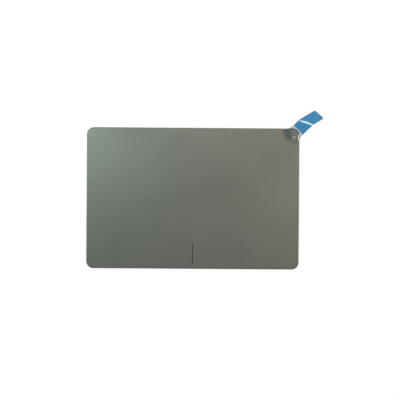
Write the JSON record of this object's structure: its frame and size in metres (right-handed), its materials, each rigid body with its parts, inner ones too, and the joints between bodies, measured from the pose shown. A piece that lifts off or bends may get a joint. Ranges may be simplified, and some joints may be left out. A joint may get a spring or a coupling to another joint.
{
  "type": "trackpad",
  "caption": "Click trackpad module for a portable computer: touch plate on a leaf spring hinge over a stamped mounting frame, with a click switch, cable socket and peel-off film.",
  "frame": {"origin": "middle of the pad in plan, on the underside of the mounting frame, at the centre of its four nuts", "axes": "+X to the right along the long side, +Y to the rear, +Z out of the touch face"},
  "size_m": [0.1166, 0.0788, 0.0077],
  "materials": {
    "cover_glass": "satin etched glass, painted metallic grey on its back",
    "clear_film": "clear glossy film",
    "blue_film": "glossy blue film",
    "adhesive": "milky double sided tape",
    "board": "green solder mask over copper",
    "stamped_steel": "zinc plated stamped sheet",
    "spring_steel": "rolled spring strip",
    "nut_steel": "bright plated",
    "foam": "fine cell foam",
    "chip_resin": "moulded resin",
    "tin": "tinned",
    "gold": "gold plated",
    "ceramic": "fired ceramic",
    "resistor_glaze": "dark glaze",
    "socket_nylon": "ivory nylon",
    "latch_nylon": "dark nylon",
    "ground_foil": "woven conductive foil"
  },
  "bodies": {
    "frame": {"mounting_frame": "stamped_steel", "frame_nuts": "nut_steel", "hinge_rivets": "nut_steel", "hinge_leaf_left": "spring_steel", "hinge_leaf_right": "spring_steel", "foam_bumper_left": "foam", "foam_bumper_right": "foam"},
    "pad": {"support_plate": "stamped_steel", "plate_adhesive": "adhesive", "sensor_board": "board", "cover_adhesive": "adhesive", "touch_cover": "cover_glass", "protective_film": "clear_film", "tab_tape": "clear_film", "pull_tab": "blue_film", "switch_base": "chip_resin", "switch_terminals": "tin", "switch_dome": "spring_steel", "switch_cover": "spring_steel", "cable_socket_housing": "socket_nylon", "cable_socket_contacts": "gold", "cable_socket_anchors": "tin", "touch_controller": "chip_resin", "controller_pads": "tin", "power_regulator": "chip_resin", "power_regulator_leads": "tin", "surge_protector": "chip_resin", "surge_protector_leads": "tin", "capacitor_bodies": "ceramic", "resistor_bodies": "resistor_glaze", "chip_end_caps": "tin", "ground_tape": "ground_foil"},
    "plunger": {"switch_plunger": "socket_nylon"},
    "latch": {"cable_socket_latch": "latch_nylon"}
  },
  "joints": [
    {"name": "pad_tilt", "type": "hinge", "parent": "frame", "child": "pad", "pos_m": [0, 0.022, 0.0015], "axis": [1, 0, 0], "range_deg": [0, 0.31], "stiffness_Nm_per_rad": 8, "springref_deg": -0.34, "deforming": ["hinge_leaf_left", "hinge_leaf_right"]},
    {"name": "plunger_press", "type": "slide", "parent": "pad", "child": "plunger", "axis": [0, 0, 1], "range_m": [0, 0.00025], "deforming": ["switch_dome"]},
    {"name": "latch_flip", "type": "hinge", "parent": "pad", "child": "latch", "pos_m": [0.018, 0.00135, 0.00115], "axis": [1, 0, 0], "range_deg": [0, 90]}
  ],
  "couplings": [
    {"joint": "plunger_press", "follows": "pad_tilt", "m_per_rad": 0.046}
  ]
}
